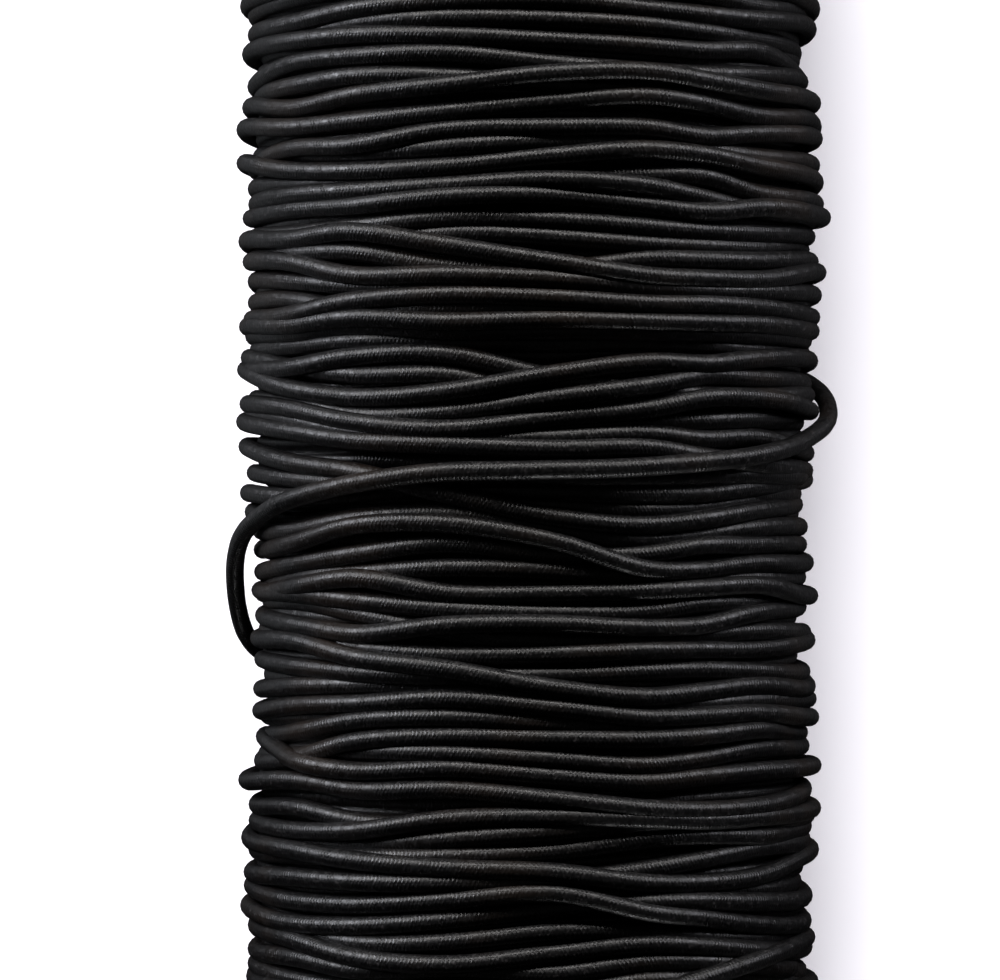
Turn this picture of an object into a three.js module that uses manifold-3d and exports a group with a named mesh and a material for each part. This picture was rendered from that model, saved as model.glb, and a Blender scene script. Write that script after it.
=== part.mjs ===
// Roll of black elastic cord, wound in uneven turns that cross and sway, lying on its side.
// Millimetres, +Z up. The roll's axis runs along Y above the origin, and the roll rests on z = 0.

import * as THREE from 'three';
import { mergeVertices } from 'three/addons/utils/BufferGeometryUtils.js';
import Module from 'manifold-3d';

// The cord and the roll
const CORD_DIAMETER = 2.5;
const ROLL_LENGTH = 184;
const ROLL_RADIUS = 39;
const SHOULDER_RADIUS = 11;
const DIMPLE_RADIUS = 4;
const DIMPLE_DEPTH = 1.5;

// The flat spot that the soft roll rests on, and the height of the roll's axis over it
const FLAT_DEPTH = 1.6;
const AXIS_HEIGHT = ROLL_RADIUS - FLAT_DEPTH;

// The winding is drawn in a little at one place along its upper side
const WAIST_DEPTH = 1;
const WAIST_PLACE = - 14;
const WAIST_REACH = 24;

// The ridges of the turns: their spacing, the depth of the grooves, and the facets of a turn
const TURN_SPACING = 3.3;
const GROOVE_DEPTH = 0.7;
const RING_SIDES = 20;

// How unevenly the ridges stand: the most that one stands proud, and how its proud stretch swings
// and moves round the roll from row to row, in radians
const UNEVENNESS = { height: 0.4, swing: 1.5, stepPerRow: 1.2, turnPerRow: 0.55 };

// Near the middle of an end face the turns run true, and further out they sway freely
const CALM_REACH = 30;

// The sway of the turns, as waves round the roll: the height of a wave, the number of waves in a turn,
// and how far the wave moves on from turn to turn, in radians per millimetre
const SWAYS = [
	{ height: 1.2, waves: 2, drift: 0.09 },
	{ height: 0.7, waves: 3, drift: - 0.17 },
];

// The main twists, which cross over their neighbours on the upper side: a row for each, with its
// place along the roll at each of the angles round it, counted in degrees from the top towards +X
const TWIST_ANGLES = [ - 71, - 45, - 20, 0, 20, 45, 71 ];
const TWIST_LIFT = - 0.35;
const MAIN_TWISTS = [
	[ 36.7, 36.8, 37.4, 37.4, 36.7, 36.6, 37.3 ],
	[ 33.3, 33.1, 31.9, 29.5, 27.4, 27.3, 29.2 ],
	[ 15.5, 12.5, 12.4, 14.3, 16.2, 16.9, 17.7 ],
	[ - 8.0, - 5.6, - 4.2, - 5.9, - 9.7, - 9.9, - 9.9 ],
	[ - 20.0, - 20.8, - 22.6, - 24.7, - 26.5, - 25.7, - 26.6 ],
	[ - 38.8, - 38.5, - 38.5, - 39.1, - 40.6, - 41.3, - 41.3 ],
];

// Past its last angle a twist sinks between its neighbours: how much further round, and how deep
const TWIST_DIVE = [
	{ turn: 22, sink: 0.9 },
	{ turn: 38, sink: 3.5 },
];

// The slack turn, which stands off both flanks of the roll: the angle round the roll, the place along
// it, and the height of the cord's middle over the turns
const SLACK_TURN = [
	{ angle: 136, along: 18.0, lift: - 3.5 },
	{ angle: 120, along: 17.4, lift: - 1.2 },
	{ angle: 106, along: 15.4, lift: 0.6 },
	{ angle: 96, along: 13.0, lift: 1.8 },
	{ angle: 88, along: 10.4, lift: 2.0 },
	{ angle: 78, along: 8.2, lift: 1.2 },
	{ angle: 66, along: 6.4, lift: 0.0 },
	{ angle: 45, along: 4.3, lift: - 0.2 },
	{ angle: 20, along: 2.9, lift: - 0.2 },
	{ angle: 0, along: 2.5, lift: - 0.2 },
	{ angle: - 20, along: 2.1, lift: - 0.2 },
	{ angle: - 45, along: - 0.2, lift: - 0.2 },
	{ angle: - 60, along: - 2.3, lift: 0.1 },
	{ angle: - 72, along: - 4.8, lift: 1.3 },
	{ angle: - 81, along: - 7.8, lift: 1.9 },
	{ angle: - 88, along: - 11.6, lift: 2.3 },
	{ angle: - 93, along: - 16.0, lift: 2.2 },
	{ angle: - 99, along: - 20.2, lift: 1.5 },
	{ angle: - 108, along: - 23.2, lift: 0.2 },
	{ angle: - 120, along: - 24.8, lift: - 1.5 },
	{ angle: - 134, along: - 25.4, lift: - 3.5 },
];

// Facets of a strand: sides of its section and steps along it
const TWIST_FACETS = { sides: 6, steps: 20 };
const SLACK_FACETS = { sides: 8, steps: 36 };

// The cord's finish
const CORD_COLOUR = 0x1b1b1d;
const CORD_ROUGHNESS = 0.75;

const wasm = await Module();
wasm.setup();

// A closed geometry as a solid for joining and cutting
function solidOf( geometry ) {

	geometry.deleteAttribute( 'normal' );
	geometry.deleteAttribute( 'uv' );
	const merged = mergeVertices( geometry );
	const vertProperties = new Float32Array( merged.attributes.position.array );
	const triVerts = new Uint32Array( merged.index.array );
	return new wasm.Manifold( new wasm.Mesh( { numProp: 3, vertProperties, triVerts } ) );

}

// A solid as a geometry
function geometryOf( solid ) {

	const { vertProperties, triVerts } = solid.getMesh();
	const geometry = new THREE.BufferGeometry();
	geometry.setAttribute( 'position', new THREE.BufferAttribute( vertProperties, 3 ) );
	geometry.setIndex( new THREE.BufferAttribute( triVerts, 1 ) );
	geometry.computeVertexNormals();
	return geometry;

}

// A point of the roll from its angle round the axis, its distance from the axis and its place along it
function rollPoint( angle, radius, along ) {

	return new THREE.Vector3( radius * Math.sin( angle ), along, AXIS_HEIGHT + radius * Math.cos( angle ) );

}

// How far the waist draws the winding in: a soft hollow that fades out towards the underside
function waistAt( angle, along ) {

	const away = ( along - WAIST_PLACE ) / WAIST_REACH;
	const upperSide = Math.min( 1, 1 + Math.cos( angle ) );
	return WAIST_DEPTH * Math.exp( - away * away ) * upperSide;

}

// How far a ridge stands proud of the roll's even radius
function unevennessAt( row, angle ) {

	const { height, swing, stepPerRow, turnPerRow } = UNEVENNESS;
	return height * Math.sin( stepPerRow * row + swing * Math.sin( angle + turnPerRow * row ) );

}

// Half of the roll's section, from the middle of one end face over the barrel to the other
function rollProfile() {

	const end = ROLL_LENGTH / 2;
	const faceRadius = ROLL_RADIUS - SHOULDER_RADIUS;
	const barrelEnd = end - SHOULDER_RADIUS;
	const profile = new THREE.Path();
	profile.moveTo( 0, - end + DIMPLE_DEPTH );
	profile.lineTo( DIMPLE_RADIUS, - end );
	profile.lineTo( faceRadius, - end );
	profile.absarc( faceRadius, - barrelEnd, SHOULDER_RADIUS, - Math.PI / 2, 0 );
	profile.lineTo( ROLL_RADIUS, barrelEnd );
	profile.absarc( faceRadius, barrelEnd, SHOULDER_RADIUS, 0, Math.PI / 2 );
	profile.lineTo( DIMPLE_RADIUS, end );
	profile.lineTo( 0, end - DIMPLE_DEPTH );
	return profile;

}

// The winding's surface: crests and grooves in turn along the profile, each carried round the axis
// while it sways along the profile, closed by a point in the middle of each end face
function windingGeometry() {

	const profile = rollProfile();
	const length = profile.getLength();
	const rowStep = TURN_SPACING / 2;
	const rowCount = 2 * Math.floor( length / TURN_SPACING ) - 3;
	const start = ( length - ( rowCount - 1 ) * rowStep ) / 2;
	const positions = [];
	const triangles = [];

	for ( let row = 0; row < rowCount; row ++ ) {

		const place = start + row * rowStep;
		const freedom = Math.min( 1, place / CALM_REACH, ( length - place ) / CALM_REACH );
		const isCrest = row % 2 === 0;

		for ( let side = 0; side < RING_SIDES; side ++ ) {

			const angle = 2 * Math.PI * ( side + 0.5 ) / RING_SIDES;
			const sway = SWAYS.reduce( ( sum, { height, waves, drift } ) =>
				sum + height * Math.sin( waves * angle + drift * place ), 0 );
			const swayed = ( place + freedom * sway ) / length;
			const lift = isCrest ? freedom * unevennessAt( row, angle ) : - GROOVE_DEPTH;
			const foot = profile.getPointAt( swayed );
			const tangent = profile.getTangentAt( swayed );
			const radius = foot.x + lift * tangent.y;
			const along = foot.y - lift * tangent.x;
			const drawnIn = waistAt( angle, along ) * radius / ROLL_RADIUS;
			positions.push( ...rollPoint( angle, radius - drawnIn, along ) );

		}

	}

	const ringVertex = ( row, side ) => row * RING_SIDES + side % RING_SIDES;

	for ( let row = 0; row + 1 < rowCount; row ++ ) {

		for ( let side = 0; side < RING_SIDES; side ++ ) {

			const near = ringVertex( row, side );
			const nearNext = ringVertex( row, side + 1 );
			const far = ringVertex( row + 1, side );
			const farNext = ringVertex( row + 1, side + 1 );
			triangles.push( near, nearNext, far, nearNext, farNext, far );

		}

	}

	const firstPole = positions.length / 3;
	const lastPole = firstPole + 1;
	positions.push( ...rollPoint( 0, 0, profile.getPointAt( 0 ).y ) );
	positions.push( ...rollPoint( 0, 0, profile.getPointAt( 1 ).y ) );

	for ( let side = 0; side < RING_SIDES; side ++ ) {

		triangles.push( firstPole, ringVertex( 0, side + 1 ), ringVertex( 0, side ) );
		triangles.push( lastPole, ringVertex( rowCount - 1, side ), ringVertex( rowCount - 1, side + 1 ) );

	}

	const geometry = new THREE.BufferGeometry();
	geometry.setAttribute( 'position', new THREE.Float32BufferAttribute( positions, 3 ) );
	geometry.setIndex( triangles );
	return geometry;

}

// A strand of the cord along a route of angles in degrees, places along the roll and heights over it
function strandGeometry( route, { sides, steps } ) {

	const points = route.map( ( { angle, along, lift } ) => {

		const turned = THREE.MathUtils.degToRad( angle );
		return rollPoint( turned, ROLL_RADIUS - waistAt( turned, along ) + lift, along );

	} );
	const corners = Array.from( { length: sides }, ( _, corner ) => {

		const turned = 2 * Math.PI * ( corner + 0.5 ) / sides;
		return new THREE.Vector2( Math.cos( turned ), Math.sin( turned ) ).multiplyScalar( CORD_DIAMETER / 2 );

	} );
	const extrudePath = new THREE.CatmullRomCurve3( points );
	return new THREE.ExtrudeGeometry( new THREE.Shape( corners ), { extrudePath, steps } );

}

// The route of a main twist: its row of places, then a dive between its neighbours at each end
function twistRoute( places ) {

	const last = TWIST_ANGLES.length - 1;
	const across = TWIST_ANGLES.map( ( angle, i ) => ( { angle, along: places[ i ], lift: TWIST_LIFT } ) );
	const before = TWIST_DIVE.map( ( { turn, sink } ) =>
		( { angle: TWIST_ANGLES[ 0 ] - turn, along: places[ 0 ], lift: TWIST_LIFT - sink } ) );
	const after = TWIST_DIVE.map( ( { turn, sink } ) =>
		( { angle: TWIST_ANGLES[ last ] + turn, along: places[ last ], lift: TWIST_LIFT - sink } ) );
	return [ ...before.reverse(), ...across, ...after ];

}

// What lies below the surface that the roll rests on, and is pressed flat
function belowGeometry() {

	const depth = ROLL_RADIUS;
	const geometry = new THREE.BoxGeometry( 4 * ROLL_RADIUS, 2 * ROLL_LENGTH, depth );
	geometry.translate( 0, 0, - depth / 2 );
	return geometry;

}

const strands = [
	...MAIN_TWISTS.map( ( places ) => strandGeometry( twistRoute( places ), TWIST_FACETS ) ),
	strandGeometry( SLACK_TURN, SLACK_FACETS ),
];
const wound = strands.reduce( ( solid, strand ) => solid.add( solidOf( strand ) ), solidOf( windingGeometry() ) );
const rested = wound.subtract( solidOf( belowGeometry() ) );

const winding = new THREE.Mesh(
	geometryOf( rested ),
	new THREE.MeshStandardMaterial( { color: CORD_COLOUR, roughness: CORD_ROUGHNESS, metalness: 0 } )
);
winding.name = 'winding';

const roll = new THREE.Group();
roll.add( winding );

export default roll;
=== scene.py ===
"""Looks of a roll of black elastic cord: a wound body, its loose outer turns and one slack turn.

All sizes are in metres. The roll's axis runs along Y, the surface it rests on is z = 0, and angles round the
roll are counted from its top towards +X.
"""

import math

import bpy
import numpy as np
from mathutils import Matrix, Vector


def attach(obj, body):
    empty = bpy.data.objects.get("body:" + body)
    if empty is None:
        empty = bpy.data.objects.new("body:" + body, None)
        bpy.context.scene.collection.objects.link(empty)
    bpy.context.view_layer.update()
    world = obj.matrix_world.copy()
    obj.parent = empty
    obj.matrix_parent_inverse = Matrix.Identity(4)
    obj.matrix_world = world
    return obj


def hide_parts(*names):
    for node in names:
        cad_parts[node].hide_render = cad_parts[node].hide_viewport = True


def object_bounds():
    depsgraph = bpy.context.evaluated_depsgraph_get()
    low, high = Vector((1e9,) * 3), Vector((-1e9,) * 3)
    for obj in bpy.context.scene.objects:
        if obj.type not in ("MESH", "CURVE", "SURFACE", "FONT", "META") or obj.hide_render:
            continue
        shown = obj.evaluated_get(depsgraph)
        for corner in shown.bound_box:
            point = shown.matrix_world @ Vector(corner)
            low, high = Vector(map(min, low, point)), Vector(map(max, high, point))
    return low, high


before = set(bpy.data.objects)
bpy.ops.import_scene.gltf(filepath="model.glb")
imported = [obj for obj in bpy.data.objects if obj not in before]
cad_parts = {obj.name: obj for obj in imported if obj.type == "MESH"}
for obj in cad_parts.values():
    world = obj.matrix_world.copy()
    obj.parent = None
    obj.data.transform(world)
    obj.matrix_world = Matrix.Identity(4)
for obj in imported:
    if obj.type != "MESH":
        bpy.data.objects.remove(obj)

bl_info = {
    "name": "Elastic Cord Roll",
    "version": (1, 0, 0),
    "blender": (4, 5, 0),
    "location": "3D View > Sidebar > Cord Roll",
    "description": "Dresses a roll of elastic cord with its turns, its braided finish and a studio stage",
    "category": "Object",
}

CAD_NODE = "winding"
CAD_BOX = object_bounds()
ROLL_LENGTH = CAD_BOX[1].y - CAD_BOX[0].y

# The photograph's frame, and where the roll's axis stands in it
IMAGE_WIDTH = 1000
IMAGE_HEIGHT = 980
AXIS_COLUMN = 530
MIDDLE_ROW = IMAGE_HEIGHT / 2

# The turns on the photographed side, read off. Each row gives how high the turn lies among its neighbours,
# from 0 for under them to 3 for over them, how many millimetres it stands out at the left and at the right
# flank, and the picture row of its highlight at each of these columns.
FRONT_COLUMNS = (255, 300, 350, 450, 550, 650, 700, 750, 800)
FRONT_TURNS = (
    (1, 0.0, 0.0, (8, -8, -18, -26, -27, -20, -12, 0, 5)),
    (1, 0.0, 0.5, (28, 16, 4, -4, -5, 4, 9, 14, 19)),
    (0, 0.0, -1.5, (40, 26, 17, 12, 14, 20, 26, 32, 42)),
    (1, 0.0, -1.5, (46, 35, 30, 30, 35, 41, 45, 45, 61)),
    (1, 0.0, -1.5, (79, 56, 51, 48, 58, 66, 69, 70, 73)),
    (0, 0.0, 0.0, (92, 79, 71, 71, 78, 84, 86, 88, 90)),
    (2, 0.0, 0.0, (101, 102, 90, 80, 69, 68, 76, 85, 94)),
    (1, 1.5, 1.0, (123, 122, 116, 106, 97, 92, 99, 110, 114)),
    (1, 0.0, 1.5, (162, 143, 141, 124, 122, 123, 131, 129, 131)),
    (0, 0.0, 1.0, (150, 150, 149, 141, 136, 137, 143, 151, 157)),
    (1, 0.5, 1.5, (158, 166, 166, 161, 151, 145, 150, 161, 172)),
    (0, 0.0, 1.5, (182, 178, 176, 172, 171, 170, 171, 187, 196)),
    (1, 0.0, 1.0, (198, 189, 186, 180, 175, 182, 192, 204, 212)),
    (2, 0.0, 2.0, (212, 204, 201, 192, 191, 201, 207, 203, 210)),
    (0, 0.0, 0.0, (232, 228, 222, 213, 215, 222, 226, 228, 230)),
    (0, 0.0, 0.0, (242, 243, 238, 228, 232, 239, 241, 243, 241)),
    (3, 0.0, 1.0, (235, 234, 227, 241, 257, 272, 274, 275, 267)),
    (1, -1.5, 1.0, (252, 248, 247, 262, 264, 254, 255, 256, 255)),
    (1, 0.0, 0.5, (257, 258, 270, 270, 274, 283, 286, 287, 288)),
    (0, 0.0, 0.0, (275, 277, 281, 281, 284, 291, 293, 295, 297)),
    (2, -1.0, 0.0, (314, 309, 297, 290, 293, 299, 299, 302, 310)),
    (0, 0.0, 0.0, (297, 296, 305, 303, 304, 307, 308, 310, 317)),
    (1, 0.0, 0.0, (321, 320, 313, 317, 315, 317, 318, 319, 325)),
    (0, 1.5, 0.0, (330, 327, 320, 326, 326, 327, 328, 330, 334)),
    (0, 1.0, 0.0, (345, 340, 336, 336, 338, 337, 339, 344, 345)),
    (1, 0.0, 0.0, (366, 362, 352, 350, 372, 384, 390, 392, 390)),
    (3, 0.0, 0.0, (366, 385, 392, 386, 369, 357, 359, 354, 353)),
    (0, 0.0, 0.0, (353, 365, 370, 371, 392, 396, 397, 398, 396)),
    (1, 0.0, -1.5, (394, 399, 410, 407, 393, 380, 371, 373, 376)),
    (2, 0.0, 1.0, (399, 405, 416, 424, 413, 403, 393, 393, 404)),
    (0, 0.0, -1.0, (408, 414, 424, 431, 424, 418, 416, 414, 416)),
    (0, 0.0, 0.5, (411, 417, 427, 434, 433, 429, 434, 432, 445)),
    (1, 0.5, -1.0, (418, 427, 435, 440, 444, 443, 451, 458, 464)),
    (0, 0.5, 0.0, (468, 475, 478, 474, 473, 474, 472, 470, 471)),
    (0, 1.5, 0.0, (488, 492, 489, 483, 487, 490, 489, 484, 478)),
    (1, 1.5, -1.5, (443, 459, 466, 490, 512, 520, 515, 507, 502)),
    (0, 1.0, -1.5, (508, 516, 508, 503, 500, 505, 503, 497, 490)),
    (0, 0.0, 0.0, (526, 524, 514, 510, 524, 535, 531, 524, 521)),
    (3, 0.0, 1.0, (545, 536, 521, 519, 536, 565, 565, 559, 559)),
    (1, 0.0, 0.0, (566, 557, 549, 539, 550, 549, 541, 540, 539)),
    (0, 0.0, 0.0, (578, 571, 568, 563, 566, 574, 577, 574, 573)),
    (2, -1.5, 1.0, (588, 580, 573, 589, 589, 586, 583, 580, 590)),
    (0, 0.0, 0.0, (586, 590, 596, 605, 609, 607, 600, 598, 600)),
    (2, 0.0, -1.0, (612, 622, 629, 620, 619, 623, 621, 609, 604)),
    (0, 0.0, 2.0, (596, 600, 610, 629, 636, 636, 632, 627, 627)),
    (1, 0.0, 0.0, (626, 634, 643, 651, 650, 646, 645, 645, 638)),
    (3, -0.5, 0.0, (634, 638, 652, 665, 683, 692, 687, 681, 684)),
    (0, 0.0, 0.5, (655, 663, 668, 672, 671, 667, 665, 666, 668)),
    (0, 0.0, 1.5, (684, 681, 681, 685, 694, 702, 700, 696, 695)),
    (2, 0.0, 0.5, (706, 700, 699, 694, 703, 713, 711, 708, 712)),
    (0, -1.5, 1.0, (730, 725, 716, 713, 719, 724, 722, 718, 718)),
    (1, -1.5, -1.5, (757, 751, 737, 732, 734, 734, 731, 725, 728)),
    (0, -2.0, 0.0, (755, 752, 748, 749, 755, 760, 754, 745, 743)),
    (2, -2.0, 1.5, (734, 757, 766, 764, 772, 777, 772, 767, 762)),
    (2, 1.5, 0.0, (776, 776, 785, 785, 794, 804, 805, 801, 787)),
    (1, -1.0, 0.0, (817, 826, 826, 814, 812, 814, 815, 812, 806)),
    (0, 0.0, 0.0, (801, 804, 817, 823, 820, 822, 822, 821, 818)),
    (0, -1.0, 0.0, (826, 836, 840, 834, 827, 818, 816, 815, 812)),
    (1, 0.0, -1.5, (846, 850, 852, 852, 847, 834, 831, 831, 825)),
    (3, 0.0, 0.0, (835, 845, 854, 863, 867, 878, 878, 873, 852)),
    (0, 0.0, 0.0, (868, 872, 876, 878, 876, 864, 855, 845, 838)),
    (0, 0.0, -1.5, (867, 880, 882, 884, 886, 892, 890, 886, 880)),
    (2, 0.5, -1.0, (883, 897, 900, 895, 888, 908, 913, 919, 920)),
    (1, 1.0, 0.0, (903, 919, 921, 915, 904, 897, 896, 897, 895)),
    (0, 0.0, -1.5, (912, 928, 938, 937, 927, 927, 932, 934, 930)),
    (1, -1.0, 0.0, (922, 936, 951, 959, 949, 939, 941, 945, 945)),
    (1, 0.0, -1.5, (946, 954, 965, 965, 969, 957, 957, 960, 962)),
    (1, 0.0, -2.0, (961, 977, 985, 988, 989, 975, 974, 972, 968)),
    (3, 0.0, -1.0, (1000, 1003, 1000, 996, 992, 987, 972, 955, 937)),
)

# How far below its highlight the middle of a turn shows, in picture rows
HIGHLIGHT_TO_MIDDLE = 5

# The slack turn, which stands off both flanks: its angle round the roll in degrees, its place along the roll,
# and the height of its middle over the even roll
SLACK_TURN = (
    (136, 0.0180, -0.0035),
    (120, 0.0174, -0.0012),
    (106, 0.0154, 0.0006),
    (96, 0.0130, 0.0018),
    (88, 0.0104, 0.0020),
    (78, 0.0082, 0.0012),
    (66, 0.0064, 0.0000),
    (45, 0.0043, -0.0002),
    (20, 0.0029, -0.0002),
    (0, 0.0025, -0.0002),
    (-20, 0.0021, -0.0002),
    (-45, -0.0002, -0.0002),
    (-60, -0.0023, 0.0001),
    (-72, -0.0048, 0.0013),
    (-81, -0.0078, 0.0019),
    (-88, -0.0116, 0.0023),
    (-93, -0.0160, 0.0022),
    (-99, -0.0202, 0.0015),
    (-108, -0.0232, 0.0002),
    (-120, -0.0248, -0.0015),
    (-134, -0.0254, -0.0035),
)

# The cover: how many ribs of the braid pass round the cord, how much the ribs and the fuzz raise it, the
# cells of each noise in a metre, and the stretch of each noise that counts
COVER = "braided_cover"
CORD_UV = "cord_run"
RIBS_ROUND = 7
RIB_WEIGHT = 0.7
FUZZ_WEIGHT = 0.45
FUZZ_GRAIN = 2400.0
RELIEF_GRAIN = 900.0
RELIEF_STRETCH = (0.35, 0.65)
LEAST_RELIEF = 0.1
WARM_GRAIN = 60.0
WARM_STRETCH = (0.52, 0.72)
FIBRE_GRAIN = 1900.0
FIBRE_STRETCH = (0.6, 0.8)
SHEEN_GRAIN = 1700.0
SHEEN_STRETCH = (0.3, 0.75)

# The outer turns' mesh: points round each turn, sides of the cord and the lengths that the cord is cut into
STATIONS = 144
OUTER_SIDES = 14
OUTER_LENGTHS = 4

# How high the outer turns rest over the inner ones' crests, in cord thicknesses, and how far their lays are
# shifted at random
OUTER_SEAT = 0.4
LAY_SCATTER = 0.3

# How the cord's thickness varies: by this share, in two waves whose lengths are 2 pi times these
THICKNESS_SHARE = 0.025
THICKNESS_RUNS = (0.017, 0.0071)

# Where the flanks start, by the sine of the angle round the roll, and how far they take to blend in
FLANK_START = 0.75
FLANK_BLEND = 0.2

# The underside: the angles, in degrees, at which turns are led across it, how far they stray along the roll,
# and how softly the roll is pressed flat, in cord thicknesses
UNDER_ANGLES = (120.0, 180.0, 240.0)
UNDER_SCATTER = 0.0006
GROUND_GIVE = 0.4

# The turns that no photo shows: how far apart they lie, in cord thicknesses, how far short of the roll's ends
# the last of them are, in shoulders, how many waves they make round the roll and how high, the least and most
# share of that height, and how many lays they have
TURN_SPACING = 0.7
OUTER_END = 0.45
UNSEEN_WAVES = ((1.3, 0.0009), (2.4, 0.0006))
UNSEEN_SHARES = (0.4, 1.3)
LAYS = 4

# The cord's two ends: over how many stations they tuck in, how deep and how far aside, in cord thicknesses
TUCK_STATIONS = 30
TUCK_DEPTH = 1.3
TUCK_SHIFT = 2.0

# How angles are found from picture columns: by how many repeats, and the largest sine of an angle
ANGLE_ROUNDS = 20
STEEPEST_SINE = 0.995

# How the turns settle: the touch distance, how far below its rest a turn may go, how far over it the pressing
# in starts and how far it lets a turn stand, all in cord thicknesses, and how much higher each lay starts, in
# touch distances
TOUCH = 0.78
LOWEST = 0.5
KNEE = 0.2
KNEE_GIVE = 0.6
LAY_LIFT = 0.4

# The rounds of settling: how far a turn is drawn to its rest at each, how often turns are evened, how many
# neighbours on each side press on a turn, and what share of their lack each makes good
SETTLE_ROUNDS = 160
DRAW = 0.00002
ROUND_EVENING = 2
LAST_EVENING = 4
NEIGHBOURS = 8
PUSH = 0.3

# The slack turn: points along it and sides of the cord, how close it lies to the turns below it, in cord
# thicknesses, how often it is evened, and the cosine of the angle at which it starts to lie on them, with how
# much more it takes to do so fully
SLACK_SAMPLES = 241
SLACK_SIDES = 16
SLACK_TOUCH = 0.92
SLACK_EVENING = 30
UPPER_START = 0.3
UPPER_BLEND = 0.2

# The inner turns: how far apart their ridges are, in cord thicknesses, the points across a ridge and round
# the roll, what share of a ridge is left out at the middle of an end face, and their height over the floor
RIDGE_SPACING = 1.03
RIDGE_STEPS = 8
RIDGE_COLUMNS = 96
SECTION_START = 0.6
BODY_CLEARANCE = 0.002

# The inner turns' unevenness: how far from the middle of an end face it grows to its full size, how proud the
# ridges stand and how that changes from ridge to ridge and round the roll, the height of their sway with its
# waves round the roll and its radians in a metre of the section, and the dimple in the middle of an end face
CALM_REACH = 0.02
PROUD_HEIGHT = 0.0004
PROUD_PHASE = 2.3
PROUD_SWING = 1.4
PROUD_DRIFT = 1.1
BODY_SWAY = ((0.0005, 2, 90), (0.0004, 3, -170))
DIMPLE_DEPTH = 0.0025
DIMPLE_REACH = 0.005

# The lights on the roll: place, width and height, and colour
KEY_LIGHT = ((-0.1, 0.95, 0.46), (3.2, 0.22), (1.0, 0.975, 0.96))
SIDE_LIGHT = ((-0.9, 0.42, 0.04), (0.5, 0.14), (0.9, 0.92, 1.0))
RIM_LIGHT = ((0.85, 0.5, 0.04), (0.4, 0.14), (0.92, 0.92, 1.0))
FILL_LIGHT = ((0.12, -1.1, 0.05), (0.4, 0.14), (1.0, 1.0, 1.0))
ROOM_LIGHT = ((0.0, 0.0, 1.6), (3.0, 3.0), (1.0, 1.0, 1.0))
LEFT_BOUNCE = ((-0.2, 0.26, 0.003), (0.28, 0.6), (0.9, 0.95, 1.0))
RIGHT_BOUNCE = ((0.2, 0.26, 0.003), (0.28, 0.6), (0.95, 0.95, 1.0))
UP = Vector((0.0, 0.0, 1.0))

# The floor's own light, its surface and the camera, whose sensor is in millimetres
FLOOR_LIGHT_COLOUR = (0.98, 0.955, 1.0)
FLOOR_LIGHT_DIRECTION = Vector((0.27, -0.05, -1.0))
FLOOR_ROUGHNESS = 0.9
SENSOR_WIDTH = 36.0
CLIP_START = 0.01
CLIP_END = 20.0


class CordRollSizes(bpy.types.PropertyGroup):
    """Sizes of the cord and of the roll."""

    cord_diameter: bpy.props.FloatProperty(
        name="Cord", description="Thickness of the cord", default=0.0025, min=0.0005, unit="LENGTH"
    )
    roll_radius: bpy.props.FloatProperty(
        name="Roll radius", description="Even radius over the turns", default=0.039, min=0.01, unit="LENGTH"
    )
    roll_length: bpy.props.FloatProperty(
        name="Roll length",
        description="Length over the end faces",
        default=ROLL_LENGTH,
        min=0.05,
        unit="LENGTH",
    )
    axis_height: bpy.props.FloatProperty(
        name="Axis height", description="Height of the roll's axis", default=0.0374, min=0.01, unit="LENGTH"
    )
    body_radius: bpy.props.FloatProperty(
        name="Body radius", description="Radius over the inner turns", default=0.0364, min=0.01, unit="LENGTH"
    )
    flank_filling: bpy.props.FloatProperty(
        name="Flank filling",
        description="How far the inner turns swell at the flanks",
        default=0.0008,
        unit="LENGTH",
    )
    shoulder: bpy.props.FloatProperty(
        name="Shoulder", description="Radius of the rounded ends", default=0.009, min=0.002, unit="LENGTH"
    )
    waist_depth: bpy.props.FloatProperty(
        name="Waist depth", description="How far the waist is drawn in", default=0.001, min=0.0, unit="LENGTH"
    )
    waist_place: bpy.props.FloatProperty(
        name="Waist place", description="Where the waist lies along the roll", default=-0.017, unit="LENGTH"
    )
    waist_reach: bpy.props.FloatProperty(
        name="Waist reach", description="How far the waist spreads", default=0.019, min=0.001, unit="LENGTH"
    )
    seed: bpy.props.IntProperty(
        name="Seed", description="Seed of the unevenness that no photo shows", default=7
    )


class CordRollFinish(bpy.types.PropertyGroup):
    """Colours and texture of the cord's braided cover."""

    cover_colour: bpy.props.FloatVectorProperty(
        name="Cover", description="Colour of the cover", subtype="COLOR", default=(0.0024, 0.0023, 0.0025)
    )
    warm_colour: bpy.props.FloatVectorProperty(
        name="Warm threads",
        description="Colour of browner stretches",
        subtype="COLOR",
        default=(0.0085, 0.0056, 0.0040),
    )
    fibre_colour: bpy.props.FloatVectorProperty(
        name="Fibre ends",
        description="Colour of pale fibre ends",
        subtype="COLOR",
        default=(0.026, 0.024, 0.025),
    )
    rib_spacing: bpy.props.FloatProperty(
        name="Rib spacing", description="Distance between ribs of the braid", default=0.00055, unit="LENGTH"
    )
    rib_height: bpy.props.FloatProperty(
        name="Rib height", description="Height of the ribs of the braid", default=0.000042, unit="LENGTH"
    )
    roughness_least: bpy.props.FloatProperty(
        name="Least roughness", description="Roughness of smooth threads", subtype="FACTOR", default=0.3
    )
    roughness_most: bpy.props.FloatProperty(
        name="Most roughness", description="Roughness of fuzzy threads", subtype="FACTOR", default=0.52
    )
    gloss: bpy.props.FloatProperty(
        name="Gloss", description="How strongly the cover mirrors light", subtype="FACTOR", default=0.3
    )


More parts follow.
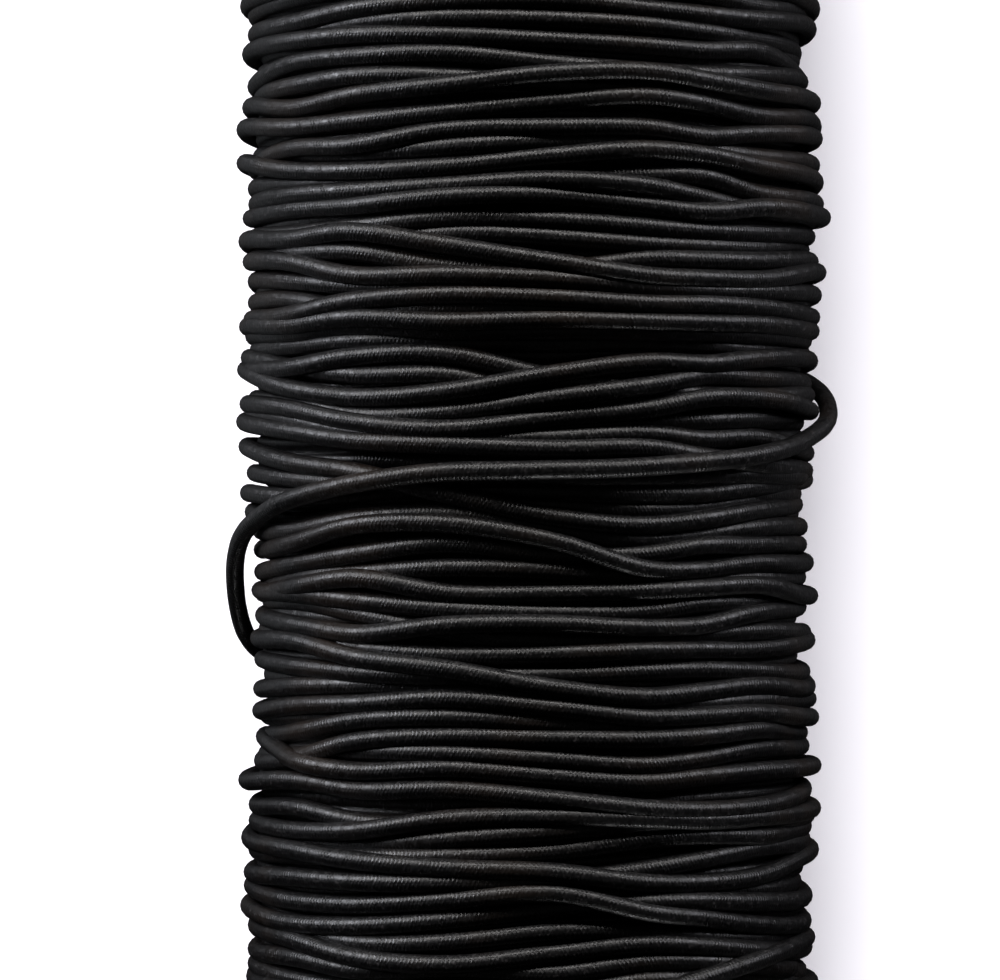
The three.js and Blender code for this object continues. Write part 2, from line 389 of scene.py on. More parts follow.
class CordRollStage(bpy.types.PropertyGroup):
    """Camera, light and floor."""

    camera_distance: bpy.props.FloatProperty(
        name="Camera distance", description="From the camera to the roll's axis", default=0.54, unit="LENGTH"
    )
    pixels_per_metre: bpy.props.FloatProperty(
        name="Picture scale", description="Picture columns for a metre beside the roll's axis", default=7300.0
    )
    floor_size: bpy.props.FloatProperty(
        name="Floor", description="Width of the floor", default=6.0, unit="LENGTH"
    )
    floor_colour: bpy.props.FloatVectorProperty(
        name="Floor colour", description="Colour of the floor", subtype="COLOR", default=(0.88, 0.88, 0.89)
    )
    shade_colour: bpy.props.FloatVectorProperty(
        name="Shade colour",
        description="Tint of the floor's shade",
        subtype="COLOR",
        default=(0.86, 0.83, 0.93),
    )
    floor_glow: bpy.props.FloatProperty(
        name="Floor glow", description="Light the floor gives off", default=0.19
    )
    key_power: bpy.props.FloatProperty(
        name="Key light", description="Power of the main light, from the picture's top", default=38.0
    )
    side_power: bpy.props.FloatProperty(
        name="Side light", description="Power of the cool light on the left", default=9.5
    )
    rim_power: bpy.props.FloatProperty(
        name="Rim light", description="Power of the light on the right", default=4.0
    )
    fill_power: bpy.props.FloatProperty(
        name="Fill light", description="Power of the light on the near end", default=8.0
    )
    room_power: bpy.props.FloatProperty(
        name="Room light", description="Power of the light overhead", default=1.0
    )
    left_bounce_power: bpy.props.FloatProperty(
        name="Left bounce", description="Power of the light off the table on the left", default=0.1
    )
    right_bounce_power: bpy.props.FloatProperty(
        name="Right bounce", description="Power of the light off the table in the roll's shade", default=0.03
    )
    floor_power: bpy.props.FloatProperty(
        name="Floor light", description="Strength of the floor's light", default=6.2
    )
    floor_spread: bpy.props.FloatProperty(
        name="Floor light spread",
        description="Width of the floor's light",
        subtype="ANGLE",
        default=math.radians(60),
    )


# Curves and meshes


def eased(share):
    """An S-shaped rise from 0 to 1: three times the square of the share, less twice its cube."""
    return share * share * (3 - 2 * share)


def smooth_through(knots, values, at):
    """A curve through values at rising knots: on each stretch the cubic with its ends' values and slopes."""
    slopes = np.gradient(values, knots, axis=0)
    i = np.clip(np.searchsorted(knots, at, side="right") - 1, 0, len(knots) - 2)
    step = knots[i + 1] - knots[i]
    t = (at - knots[i]) / step
    if np.ndim(values) > 1:
        t, step = t[:, None], step[:, None]
    start = (2 * t**3 - 3 * t**2 + 1) * values[i] + (t**3 - 2 * t**2 + t) * step * slopes[i]
    end = (3 * t**2 - 2 * t**3) * values[i + 1] + (t**3 - t**2) * step * slopes[i + 1]
    return start + end


def blurred(values, rounds):
    """Values along a line, each averaged with its two neighbours by weights 1, 2, 1, some rounds over."""
    for _ in range(rounds):
        padded = np.concatenate((values[:1], values, values[-1:]))
        values = (padded[:-2] + 2 * padded[1:-1] + padded[2:]) / 4
    return values


def run_along(path):
    """The length of a path up to each of its points."""
    return np.concatenate(([0.0], np.cumsum(np.linalg.norm(np.diff(path, axis=0), axis=1))))


def skin_object(name, grid, run, around, material):
    """A closed skin over a grid of points: quads between neighbouring rows and columns, the columns joined
    round, and a fan of triangles over the first and last row. The UV map holds the run along the cord and the
    share of the way round it."""
    rows, columns = grid.shape[:2]
    points = np.concatenate((grid.reshape(-1, 3), grid[[0, -1]].mean(axis=1)))
    row, column = np.meshgrid(np.arange(rows - 1), np.arange(columns), indexing="ij")
    across = (column + 1) % columns
    here, beyond = row * columns, (row + 1) * columns
    quads = np.stack((here + column, here + across, beyond + across, beyond + column), axis=-1).reshape(-1, 4)
    side = np.arange(columns)
    beside = (side + 1) % columns
    last = (rows - 1) * columns
    first_fan = np.stack((np.full(columns, rows * columns), beside, side), axis=-1)
    last_fan = np.stack((np.full(columns, rows * columns + 1), last + side, last + beside), axis=-1)
    fans = np.concatenate((first_fan, last_fan))

    corners = np.concatenate((quads.ravel(), fans.ravel())).astype(np.int32)
    quad_starts = 4 * np.arange(len(quads))
    fan_starts = quads.size + 3 * np.arange(len(fans))
    starts = np.concatenate((quad_starts, fan_starts)).astype(np.int32)
    mesh = bpy.data.meshes.new(name)
    mesh.vertices.add(len(points))
    mesh.vertices.foreach_set("co", points.astype(np.float32).ravel())
    mesh.loops.add(len(corners))
    mesh.loops.foreach_set("vertex_index", corners)
    mesh.polygons.add(len(starts))
    mesh.polygons.foreach_set("loop_start", starts)
    mesh.polygons.foreach_set("use_smooth", np.ones(len(starts), bool))

    corner_rows = np.stack((row, row, row + 1, row + 1), axis=-1)
    corner_columns = np.stack((column, column + 1, column + 1, column), axis=-1)
    quad_uv = np.stack((run[corner_rows, corner_columns], around[corner_rows, corner_columns]), axis=-1)
    uv = np.concatenate((quad_uv.reshape(-1, 2), np.zeros((fans.size, 2))))
    uv_map = mesh.uv_layers.new(name=CORD_UV)
    uv_map.data.foreach_set("uv", uv.astype(np.float32).ravel())
    mesh.update(calc_edges=True)
    if mesh.validate():
        raise RuntimeError(f"{name} has faces that can't be kept")
    mesh.materials.append(material)
    piece = bpy.data.objects.new(name, mesh)
    bpy.context.scene.collection.objects.link(piece)
    return piece


def cord_object(name, path, outward, radius, sides, run_start):
    """A cord along a path: a circle carried along it, its first direction turned outwards from the roll,
    across the path's tangent, and its second square to both."""
    tangent = np.gradient(path, axis=0)
    tangent /= np.linalg.norm(tangent, axis=1, keepdims=True)
    normal = outward - tangent * np.sum(outward * tangent, axis=1, keepdims=True)
    normal /= np.linalg.norm(normal, axis=1, keepdims=True)
    binormal = np.cross(tangent, normal)
    turn = 2 * np.pi * np.arange(sides) / sides
    circle = np.cos(turn)[None, :, None] * normal[:, None] + np.sin(turn)[None, :, None] * binormal[:, None]
    grid = path[:, None] + np.reshape(radius, (-1, 1, 1)) * circle
    run = np.repeat(run_start + run_along(path)[:, None], sides + 1, axis=1)
    around = np.repeat(np.arange(sides + 1)[None] / sides, len(path), axis=0)
    return skin_object(name, grid, run, around, cover_material())


# The braided cover


def feed(tree, socket, value):
    """Link another node's output to a socket, or give the socket a number or a colour."""
    if isinstance(value, bpy.types.NodeSocket):
        tree.links.new(value, socket)
    else:
        socket.default_value = value


def math_node(tree, operation, *values):
    """A number worked out from one or two others."""
    made = tree.nodes.new("ShaderNodeMath")
    made.operation = operation
    for socket, value in zip(made.inputs, values):
        feed(tree, socket, value)
    return made.outputs[0]


def noise_node(tree, vector, grain, detail):
    """Smooth noise from 0 to 1, with so many cells in a metre."""
    made = tree.nodes.new("ShaderNodeTexNoise")
    made.inputs["Scale"].default_value = grain
    made.inputs["Detail"].default_value = detail
    feed(tree, made.inputs["Vector"], vector)
    return made.outputs["Fac"]


def spread_node(tree, value, stretch, least=0.0, most=1.0):
    """A straight rise from least to most over a stretch of the value, level on both sides of it."""
    made = tree.nodes.new("ShaderNodeMapRange")
    low, high = stretch
    made.inputs["From Min"].default_value = low
    made.inputs["From Max"].default_value = high
    made.inputs["To Min"].default_value = least
    made.inputs["To Max"].default_value = most
    feed(tree, made.inputs["Value"], value)
    return made.outputs["Result"]


def mix_node(tree, share, first, second):
    """A colour between two others."""
    made = tree.nodes.new("ShaderNodeMix")
    made.data_type = "RGBA"
    feed(tree, made.inputs["Factor"], share)
    feed(tree, made.inputs["A"], first)
    feed(tree, made.inputs["B"], second)
    return made.outputs["Result"]


def braid_height(tree, place, rib_spacing):
    """Height of the cover: the higher of two sine waves that wind round the cord in opposite ways,
    fainter where a noise is low, and fuzz on top."""
    uv = tree.nodes.new("ShaderNodeUVMap")
    uv.uv_map = CORD_UV
    split = tree.nodes.new("ShaderNodeSeparateXYZ")
    feed(tree, split.inputs["Vector"], uv.outputs["UV"])
    along = math_node(tree, "DIVIDE", split.outputs["X"], rib_spacing)
    around = math_node(tree, "MULTIPLY", split.outputs["Y"], RIBS_ROUND)
    ribs = []
    for leaning in ("ADD", "SUBTRACT"):
        turns = math_node(tree, leaning, along, around)
        ribs.append(math_node(tree, "SINE", math_node(tree, "MULTIPLY", turns, 2 * math.pi)))
    braid = math_node(tree, "MAXIMUM", *ribs)
    relief = spread_node(tree, noise_node(tree, place, RELIEF_GRAIN, 1.0), RELIEF_STRETCH, LEAST_RELIEF)
    raised = math_node(tree, "MULTIPLY", braid, math_node(tree, "MULTIPLY", relief, RIB_WEIGHT))
    fuzz = math_node(tree, "MULTIPLY", noise_node(tree, place, FUZZ_GRAIN, 2.0), FUZZ_WEIGHT)
    return math_node(tree, "ADD", raised, fuzz)


def thread_colour(tree, place, finish):
    """Colour of the cover: black thread, browner and with pale fibre ends where two noises are high."""
    warmth = spread_node(tree, noise_node(tree, place, WARM_GRAIN, 2.0), WARM_STRETCH)
    fibres = spread_node(tree, noise_node(tree, place, FIBRE_GRAIN, 1.0), FIBRE_STRETCH)
    thread = mix_node(tree, warmth, (*finish.cover_colour, 1.0), (*finish.warm_colour, 1.0))
    return mix_node(tree, fibres, thread, (*finish.fibre_colour, 1.0))


def cover_material():
    """The cord's braided cover: its colour, its ribs and fuzz as a bump, and an uneven sheen."""
    material = bpy.data.materials.get(COVER)
    if material:
        return material
    finish = bpy.context.scene.cord_roll_finish
    material = bpy.data.materials.new(COVER)
    material.use_nodes = True
    tree = material.node_tree
    shader = tree.nodes["Principled BSDF"]
    place = tree.nodes.new("ShaderNodeTexCoord").outputs["Object"]
    bump = tree.nodes.new("ShaderNodeBump")
    bump.inputs["Strength"].default_value = 1.0
    bump.inputs["Distance"].default_value = finish.rib_height
    feed(tree, bump.inputs["Height"], braid_height(tree, place, finish.rib_spacing))
    sheen = noise_node(tree, place, SHEEN_GRAIN, 1.0)
    roughness = spread_node(tree, sheen, SHEEN_STRETCH, finish.roughness_least, finish.roughness_most)
    feed(tree, shader.inputs["Base Color"], thread_colour(tree, place, finish))
    feed(tree, shader.inputs["Normal"], bump.outputs["Normal"])
    feed(tree, shader.inputs["Roughness"], roughness)
    shader.inputs["Specular IOR Level"].default_value = finish.gloss
    return material


# The form of the roll


def waist_at(angles, places):
    """How far the waist draws the winding in: a bell curve along the roll, fading out on the underside."""
    sizes = bpy.context.scene.cord_roll_sizes
    away = (places - sizes.waist_place) / sizes.waist_reach
    return sizes.waist_depth * np.exp(-(away**2)) * np.minimum(1.0, 1.0 + np.cos(angles))


def body_radius_at(angles, places):
    """Radius of the inner turns' crests: even along the barrel, a quarter circle at each shoulder, less the
    waist."""
    sizes = bpy.context.scene.cord_roll_sizes
    barrel_end = sizes.roll_length / 2 - sizes.shoulder
    past = np.clip(np.abs(places) - barrel_end, 0.0, sizes.shoulder)
    drop = sizes.shoulder - np.sqrt(sizes.shoulder**2 - past**2)
    return sizes.body_radius - drop - waist_at(angles, places)


def roll_points(angles, radii, places, clearance):
    """Points round the roll, pressed flat below: a height h over the lowest allowed one becomes
    (h + sqrt(h² + give²)) / 2, which is never less than nothing and soon equals h."""
    sizes = bpy.context.scene.cord_roll_sizes
    give = GROUND_GIVE * sizes.cord_diameter
    height = sizes.axis_height + radii * np.cos(angles) - clearance
    pressed = clearance + (height + np.sqrt(height**2 + give**2)) / 2
    return np.stack(np.broadcast_arrays(radii * np.sin(angles), places, pressed), axis=-1)


def outward_directions(angles):
    """Directions straight out from the roll's axis."""
    return np.stack((np.sin(angles), np.zeros_like(angles), np.cos(angles)), axis=-1)


# The outer turns


def front_turn_routes():
    """Angles of the picture columns round the roll and, for each turn in order along the roll, its places at
    those angles, how high it lies among its neighbours and how far it stands out at each flank.

    A point at angle a and place y on a cylinder of radius r shows at column c + f r sin(a) / (D - r cos(a))
    and row m - f y / (D - r cos(a)), with the focal length f in pixels and the camera's distance D. The angle
    is found by repeating sin(a) = (column - c) (D - r cos(a)) / (f r)."""
    sizes = bpy.context.scene.cord_roll_sizes
    stage = bpy.context.scene.cord_roll_stage
    distance = stage.camera_distance
    focal = stage.pixels_per_metre * distance
    radius = sizes.roll_radius - sizes.cord_diameter / 2
    offset = np.array(FRONT_COLUMNS) - AXIS_COLUMN
    angles = np.zeros(len(FRONT_COLUMNS))
    for _ in range(ANGLE_ROUNDS):
        sine = offset * (distance - radius * np.cos(angles)) / (focal * radius)
        angles = np.arcsin(np.clip(sine, -STEEPEST_SINE, STEEPEST_SINE))
    lay, left, right, rows = zip(*FRONT_TURNS)
    rows = np.array(rows) + HIGHLIGHT_TO_MIDDLE
    places = (MIDDLE_ROW - rows) * (distance - radius * np.cos(angles)) / focal
    standing = np.stack((left, right), axis=1) / 1000
    order = np.argsort(-places.mean(axis=1))
    return angles, places[order], np.array(lay, float)[order], standing[order]


def unseen_turn_routes(start, end, angles, random):
    """Turns past the photograph's edge: even lanes, each swaying by two slow waves round the roll, and how
    high each lies among its neighbours."""
    spacing = TURN_SPACING * bpy.context.scene.cord_roll_sizes.cord_diameter
    lanes = np.linspace(start, end, max(2, int(abs(end - start) / spacing)))
    sway = np.zeros((len(lanes), len(angles)))
    for waves, height in UNSEEN_WAVES:
        phase = random.uniform(0, 2 * np.pi, (len(lanes), 1))
        sway += height * random.uniform(*UNSEEN_SHARES, (len(lanes), 1)) * np.sin(waves * angles + phase)
    return lanes[:, None] + sway, random.integers(0, LAYS, len(lanes)).astype(float)


def settle(places, heights, rest_radii):
    """Radii of turns that press on each other. Each round draws the turns towards their rest and evens them
    along the cord. Where two lie closer than the touch distance, it pushes the one that lies over the other
    out and the other in, by a share of what they lack. At last the highest are pressed in, as a stretched
    cord would press them: a height h over the knee becomes h / (1 + h / give)."""
    sizes = bpy.context.scene.cord_roll_sizes
    touch = TOUCH * sizes.cord_diameter
    lowest = rest_radii - LOWEST * sizes.cord_diameter
    radii = rest_radii + LAY_LIFT * touch * heights
    for _ in range(SETTLE_ROUNDS):
        radii += np.clip(rest_radii - radii, -DRAW, DRAW)
        radii = blurred(radii.ravel(), ROUND_EVENING).reshape(radii.shape)
        for step in range(1, NEIGHBOURS + 1):
            gap = np.abs(places[step:] - places[:-step])
            need = np.sqrt(np.maximum(touch**2 - gap**2, 0.0))
            over = np.where(heights[step:] >= heights[:-step], 1.0, -1.0)
            lack = np.maximum(need - over * (radii[step:] - radii[:-step]), 0.0)
            lack = np.where(gap < touch, lack, 0.0)
            radii[step:] += PUSH * over * lack
            radii[:-step] -= PUSH * over * lack
        radii = np.maximum(radii, lowest)
    radii = blurred(radii.ravel(), LAST_EVENING).reshape(radii.shape)
    knee = rest_radii + KNEE * sizes.cord_diameter
    give = KNEE_GIVE * sizes.cord_diameter
    high = np.maximum(radii - knee, 0.0)
    return np.minimum(radii, knee) + high / (1 + high / give)


def tuck_ends(route, radii):
    """Lead the first and the last turn in under their neighbours, deepest at the cord's two ends."""
    past = np.clip(np.arange(STATIONS) / TUCK_STATIONS, 0.0, 1.0)
    tuck = bpy.context.scene.cord_roll_sizes.cord_diameter * (1 - eased(past))
    radii[0] -= TUCK_DEPTH * tuck
    radii[-1] -= TUCK_DEPTH * tuck[::-1]
    route[0] -= TUCK_SHIFT * tuck
    route[-1] += TUCK_SHIFT * tuck[::-1]


def outer_turns():
    """Angles, places and radii of the outer turns, a row for each turn, from the underside round to it again.

    Each turn passes its left flank, the top and its right flank by its own route, and on the underside runs
    over to the next turn's left flank, so that all of them are one cord. Its two ends are tucked in."""
    sizes = bpy.context.scene.cord_roll_sizes
    random = np.random.default_rng(sizes.seed)
    angles, front, front_lay, front_standing = front_turn_routes()
    spacing = TURN_SPACING * sizes.cord_diameter
    outer_end = sizes.roll_length / 2 - OUTER_END * sizes.shoulder
    top, top_lay = unseen_turn_routes(outer_end, front[0].mean() + spacing, angles, random)
    low, low_lay = unseen_turn_routes(front[-1].mean() - spacing, -outer_end, angles, random)
    across = np.concatenate((top, front, low))
    lay = np.concatenate((top_lay, front_lay, low_lay))
    lay = lay + random.uniform(-LAY_SCATTER, LAY_SCATTER, len(lay))

    turns = len(across)
    under = np.radians(UNDER_ANGLES)
    share = (under - angles[-1]) / (2 * np.pi + angles[0] - angles[-1])
    next_left = np.concatenate((across[1:, 0], across[-1:, 0] - spacing))
    below = across[:, -1:] + (next_left - across[:, -1])[:, None] * eased(share)
    below += random.normal(0.0, UNDER_SCATTER, below.shape)
    next_lay = np.concatenate((lay[1:], lay[-1:]))
    below_lay = lay[:, None] + (next_lay - lay)[:, None] * share

    turn_start = 2 * np.pi * np.arange(turns)[:, None]
    knots = np.concatenate((turn_start + angles, turn_start + under), axis=1).ravel()
    stations = 2 * np.pi * np.arange(STATIONS) / STATIONS - np.pi
    at = (turn_start + stations).ravel()
    knot_places = np.concatenate((across, below), axis=1).ravel()
    route = smooth_through(knots, knot_places, at).reshape(turns, STATIONS)
    knot_lay = np.concatenate((np.repeat(lay[:, None], len(angles), axis=1), below_lay), axis=1).ravel()
    over = np.interp(at, knots, knot_lay).reshape(turns, STATIONS)

    round_angles = np.broadcast_to(stations, route.shape)
    left, right = np.pad(front_standing, ((len(top), len(low)), (0, 0))).T[:, :, None]
    aside = np.clip((np.abs(np.sin(stations)) - FLANK_START) / FLANK_BLEND, 0.0, 1.0)
    standing_out = np.where(stations < 0, left, right) * eased(aside)
    rest_radii = body_radius_at(round_angles, route) + OUTER_SEAT * sizes.cord_diameter + standing_out
    radii = settle(route, over, rest_radii)
    tuck_ends(route, radii)
    return round_angles, route, radii


# Pieces


def dress(piece):
    """Every piece stands for the wound solid and rides with it."""
    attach(piece, "root")
    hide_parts(CAD_NODE)


class CORDROLL_OT_inner_turns(bpy.types.Operator):
    """Make the wound body: the inner turns of the barrel and the rings of the end faces"""

    bl_idname = "cordroll.inner_turns"
    bl_label = "Inner turns"

    def execute(self, context):
        """Half-round ridges side by side along the roll's half section, from the middle of one end face to
        the middle of the other, each carried round the axis while it sways along the section. The ridges
        stand a little more or less proud, and each end face has a dimple in its middle. A whole number of
        the cover's ribs goes round each ridge."""
        sizes = context.scene.cord_roll_sizes
        cord = sizes.cord_diameter
        half = sizes.roll_length / 2
        face = sizes.body_radius - sizes.shoulder
        bend = sizes.shoulder * np.pi / 2
        section = 2 * (face + bend + half - sizes.shoulder)
        ridges = int(section / (RIDGE_SPACING * cord))
        spacing = section / ridges
        start = SECTION_START * spacing
        s = np.linspace(start, section - start, ridges * RIDGE_STEPS)[:, None]
        angles = (2 * np.pi * np.arange(RIDGE_COLUMNS) / RIDGE_COLUMNS)[None]

        ridge = np.floor(s / spacing)
        aside = (s / spacing - ridge - 0.5) * spacing
        calm = np.clip(np.minimum(s, section - s) / CALM_REACH, 0.0, 1.0)
        swing = PROUD_SWING * np.sin(angles + PROUD_DRIFT * ridge)
        proud = PROUD_HEIGHT * np.sin(PROUD_PHASE * ridge + swing) * calm
        lift = np.sqrt(np.maximum((cord / 2) ** 2 - aside**2, 0.0)) - cord / 2 + proud
        sway = sum(height * np.sin(waves * angles + slant * s) for height, waves, slant in BODY_SWAY)
        t = s + sway * calm

        near = np.minimum(t, section - t)
        lean = np.clip((near - face) / sizes.shoulder, 0.0, np.pi / 2)
        radius = np.minimum(near, face) + sizes.shoulder * np.sin(lean) + lift * np.sin(lean)
        along = half - sizes.shoulder * (1 - np.cos(lean)) - np.maximum(near - face - bend, 0.0)
        dimple = DIMPLE_DEPTH * np.clip(1 - near / DIMPLE_REACH, 0.0, 1.0) ** 2
        along = np.where(t < section / 2, -1.0, 1.0) * (along + lift * np.cos(lean) - dimple)
        flank = sizes.flank_filling * np.sin(angles) ** 4 * np.sin(lean)
        radius = radius + flank - waist_at(angles, along) * radius / sizes.body_radius
        grid = roll_points(np.broadcast_to(angles, radius.shape), radius, along, BODY_CLEARANCE)
        ring = ridge.astype(int).ravel()
        ring_radius = (np.bincount(ring, radius.mean(axis=1)) / np.bincount(ring))[ring, None]
        rib = context.scene.cord_roll_finish.rib_spacing
        run = rib * np.round(2 * np.pi * ring_radius / rib) * np.linspace(0, 1, RIDGE_COLUMNS + 1)[None]
        around = np.repeat(s / (np.pi * cord), RIDGE_COLUMNS + 1, axis=1)
        dress(skin_object("inner_turns", grid, run, around, cover_material()))
        return {"FINISHED"}


class CORDROLL_OT_outer_turns(bpy.types.Operator):
    """Make the loose outer turns, which sway and cross each other"""

    bl_idname = "cordroll.outer_turns"
    bl_label = "Outer turns"

    def execute(self, context):
        """A circle carried along the settled route of the turns, its radius varying by the product of two
        sine waves along the cord, cut into lengths on the underside."""
        cord_radius = context.scene.cord_roll_sizes.cord_diameter / 2
        angles, places, radii = outer_turns()
        path = roll_points(angles.ravel(), radii.ravel(), places.ravel(), cord_radius)
        outward = outward_directions(angles.ravel())
        run = run_along(path)
        long_run, short_run = THICKNESS_RUNS
        radius = cord_radius * (1 + THICKNESS_SHARE * np.sin(run / long_run) * np.sin(run / short_run))
        cuts = np.linspace(0, len(angles), OUTER_LENGTHS + 1).astype(int) * STATIONS
        for number, (first, last) in enumerate(zip(cuts[:-1], cuts[1:]), start=1):
            span = slice(first, min(last + 1, len(path)))
            name = f"outer_turns_{number}"
            dress(cord_object(name, path[span], outward[span], radius[span], OUTER_SIDES, run[first]))
        return {"FINISHED"}


class CORDROLL_OT_slack_turn(bpy.types.Operator):
    """Make the slack turn, which stands off both flanks of the roll"""

    bl_idname = "cordroll.slack_turn"
    bl_label = "Slack turn"

    def execute(self, context):
        """A circle carried along a smooth curve through the slack turn's table. On the roll's upper side the
        curve is raised to lie on the turns below it."""
        sizes = context.scene.cord_roll_sizes
        rows = np.array(SLACK_TURN)
        knots = np.arange(len(rows), dtype=float)
        samples = smooth_through(knots, rows, np.linspace(0, len(rows) - 1, SLACK_SAMPLES))
        angles = np.radians(samples[:, 0])
        places = samples[:, 1]
        radii = sizes.roll_radius - waist_at(angles, places) + samples[:, 2]

        _, turn_places, turn_radii = outer_turns()
        station = np.rint((angles + np.pi) / (2 * np.pi) * STATIONS).astype(int) % STATIONS
        touch = SLACK_TOUCH * sizes.cord_diameter
        gap = np.abs(turn_places[:, station] - places)
        resting = turn_radii[:, station] + np.sqrt(np.maximum(touch**2 - gap**2, 0.0))
        seat = np.where(gap < touch, resting, 0.0).max(axis=0)
        upper = np.clip((np.cos(angles) - UPPER_START) / UPPER_BLEND, 0.0, 1.0)
        radii += upper * np.maximum(seat - radii, 0.0)
        radii = blurred(radii, SLACK_EVENING)

        cord_radius = sizes.cord_diameter / 2
        path = roll_points(angles, radii, places, cord_radius)
        piece = cord_object("slack_turn", path, outward_directions(angles), cord_radius, SLACK_SIDES, 0.0)
        dress(piece)
        return {"FINISHED"}


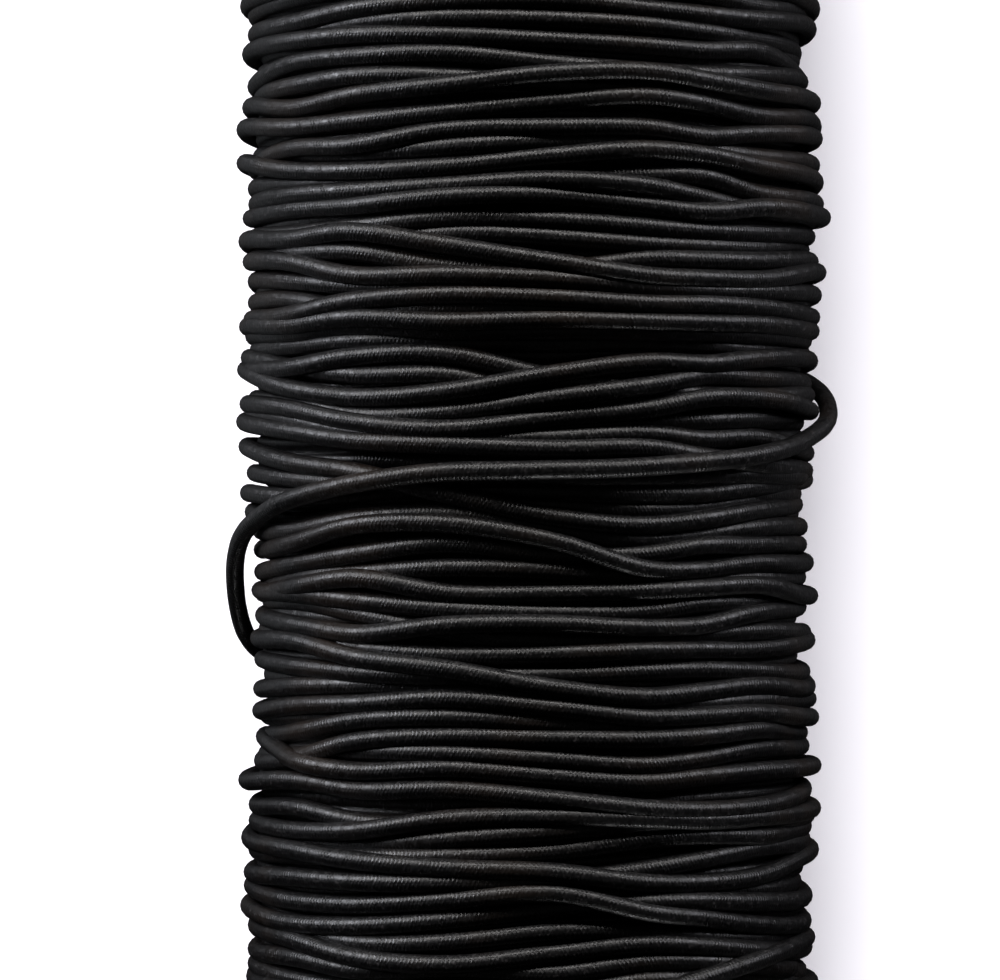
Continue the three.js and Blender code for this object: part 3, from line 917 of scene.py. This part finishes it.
class CORDROLL_OT_stage(bpy.types.Operator):
    """Make the floor, the lights and the camera over the roll"""

    bl_idname = "cordroll.stage"
    bl_label = "Stage"

    def execute(self, context):
        """A flat square floor with a light of its own, lights on the roll from the picture's top, left, right
        and foot, from overhead and off the table, a pale background and a camera that looks straight down."""
        stage = context.scene.cord_roll_stage
        floor = self.make_floor(stage)
        lamps = (
            self.make_light("key_light", KEY_LIGHT, stage.key_power),
            self.make_light("side_light", SIDE_LIGHT, stage.side_power),
            self.make_light("rim_light", RIM_LIGHT, stage.rim_power),
            self.make_light("fill_light", FILL_LIGHT, stage.fill_power),
            self.make_light("room_light", ROOM_LIGHT, stage.room_power),
            self.make_light("left_bounce", LEFT_BOUNCE, stage.left_bounce_power, UP),
            self.make_light("right_bounce", RIGHT_BOUNCE, stage.right_bounce_power, UP),
        )
        for lamp in lamps:
            self.light_only(lamp, floor, "EXCLUDE")
        self.light_only(self.make_floor_light(stage), floor, "INCLUDE")
        self.make_camera(stage)
        self.make_backdrop(stage)
        context.scene.view_settings.view_transform = "Standard"
        return {"FINISHED"}

    def make_floor(self, stage):
        """A square in the plane z = 0, which the cord doesn't mirror."""
        reach = stage.floor_size / 2
        corners = np.array([(-1, -1, 0), (1, -1, 0), (1, 1, 0), (-1, 1, 0)]) * reach
        mesh = bpy.data.meshes.new("floor")
        mesh.from_pydata(corners.tolist(), [], [(0, 1, 2, 3)])
        material = bpy.data.materials.new("pale_floor")
        material.use_nodes = True
        shader = material.node_tree.nodes["Principled BSDF"]
        shader.inputs["Base Color"].default_value = (*stage.floor_colour, 1.0)
        shader.inputs["Roughness"].default_value = FLOOR_ROUGHNESS
        shader.inputs["Specular IOR Level"].default_value = 0.0
        shader.inputs["Emission Color"].default_value = (*stage.shade_colour, 1.0)
        shader.inputs["Emission Strength"].default_value = stage.floor_glow
        mesh.materials.append(material)
        floor = bpy.data.objects.new("floor", mesh)
        floor.visible_glossy = False
        bpy.context.scene.collection.objects.link(floor)
        return floor

    def make_light(self, name, form, power, facing=None):
        """A rectangle of light that faces the middle of the roll, or a given direction."""
        place, size, colour = form
        light = bpy.data.lights.new(name, "AREA")
        light.shape = "RECTANGLE"
        light.size, light.size_y = size
        light.energy = power
        light.color = colour
        lamp = bpy.data.objects.new(name, light)
        lamp.location = place
        middle = (CAD_BOX[0] + CAD_BOX[1]) / 2
        lamp.rotation_euler = (facing or middle - lamp.location).to_track_quat("-Z", "Y").to_euler()
        bpy.context.scene.collection.objects.link(lamp)
        return lamp

    def make_floor_light(self, stage):
        """A soft sky over the floor, which leaves a pale shade beside the roll."""
        light = bpy.data.lights.new("floor_light", "SUN")
        light.energy = stage.floor_power
        light.color = FLOOR_LIGHT_COLOUR
        light.angle = stage.floor_spread
        lamp = bpy.data.objects.new("floor_light", light)
        lamp.rotation_euler = FLOOR_LIGHT_DIRECTION.to_track_quat("-Z", "Y").to_euler()
        bpy.context.scene.collection.objects.link(lamp)
        return lamp

    def light_only(self, lamp, receiver, state):
        """Link a lamp so that it lights nothing but the receiver, or all but the receiver."""
        lit = bpy.data.collections.new(f"{lamp.name}_{state.lower()}")
        lit.objects.link(receiver)
        lit.collection_objects[0].light_linking.link_state = state
        lamp.light_linking.receiver_collection = lit

    def make_backdrop(self, stage):
        """A pale background, seen past the floor, that gives no light."""
        world = bpy.data.worlds.new("studio")
        world.use_nodes = True
        background = world.node_tree.nodes["Background"]
        background.inputs["Color"].default_value = (*stage.floor_colour, 1.0)
        bpy.context.scene.world = world
        world.cycles_visibility.diffuse = False
        world.cycles_visibility.glossy = False

    def make_camera(self, stage):
        """A camera that looks straight down, as far to the left of the axis as the picture's middle is."""
        camera = bpy.data.cameras.new("camera")
        camera.sensor_width = SENSOR_WIDTH
        camera.lens = stage.pixels_per_metre * stage.camera_distance * SENSOR_WIDTH / IMAGE_WIDTH
        camera.clip_start, camera.clip_end = CLIP_START, CLIP_END
        eye = bpy.data.objects.new("camera", camera)
        sizes = bpy.context.scene.cord_roll_sizes
        left = (IMAGE_WIDTH / 2 - AXIS_COLUMN) / stage.pixels_per_metre
        eye.location = (left, 0.0, sizes.axis_height + stage.camera_distance)
        bpy.context.scene.collection.objects.link(eye)
        bpy.context.scene.camera = eye


class CORDROLL_PT_panel(bpy.types.Panel):
    """The roll's pieces in the sidebar"""

    bl_idname = "CORDROLL_PT_panel"
    bl_label = "Cord Roll"
    bl_space_type = "VIEW_3D"
    bl_region_type = "UI"
    bl_category = "Cord Roll"

    def draw(self, context):
        """A column of buttons, one for each operator."""
        column = self.layout.column()
        for operator in OPERATORS:
            column.operator(operator.bl_idname)


OPERATORS = (
    CORDROLL_OT_stage,
    CORDROLL_OT_slack_turn,
    CORDROLL_OT_outer_turns,
    CORDROLL_OT_inner_turns,
)
SETTINGS = {
    "cord_roll_sizes": CordRollSizes,
    "cord_roll_finish": CordRollFinish,
    "cord_roll_stage": CordRollStage,
}
CLASSES = (*SETTINGS.values(), *OPERATORS, CORDROLL_PT_panel)


def register():
    """Register the classes and hang the settings on the scene."""
    for each in CLASSES:
        bpy.utils.register_class(each)
    for name, group in SETTINGS.items():
        setattr(bpy.types.Scene, name, bpy.props.PointerProperty(type=group))


def unregister():
    """Take the settings off the scene and unregister the classes."""
    for name in SETTINGS:
        delattr(bpy.types.Scene, name)
    for each in reversed(CLASSES):
        bpy.utils.unregister_class(each)


def main():
    """Make the stage and the pieces in order."""
    register()
    bpy.ops.cordroll.stage()
    bpy.ops.cordroll.slack_turn()
    bpy.ops.cordroll.outer_turns()
    bpy.ops.cordroll.inner_turns()


if __name__ == "__main__":
    main()
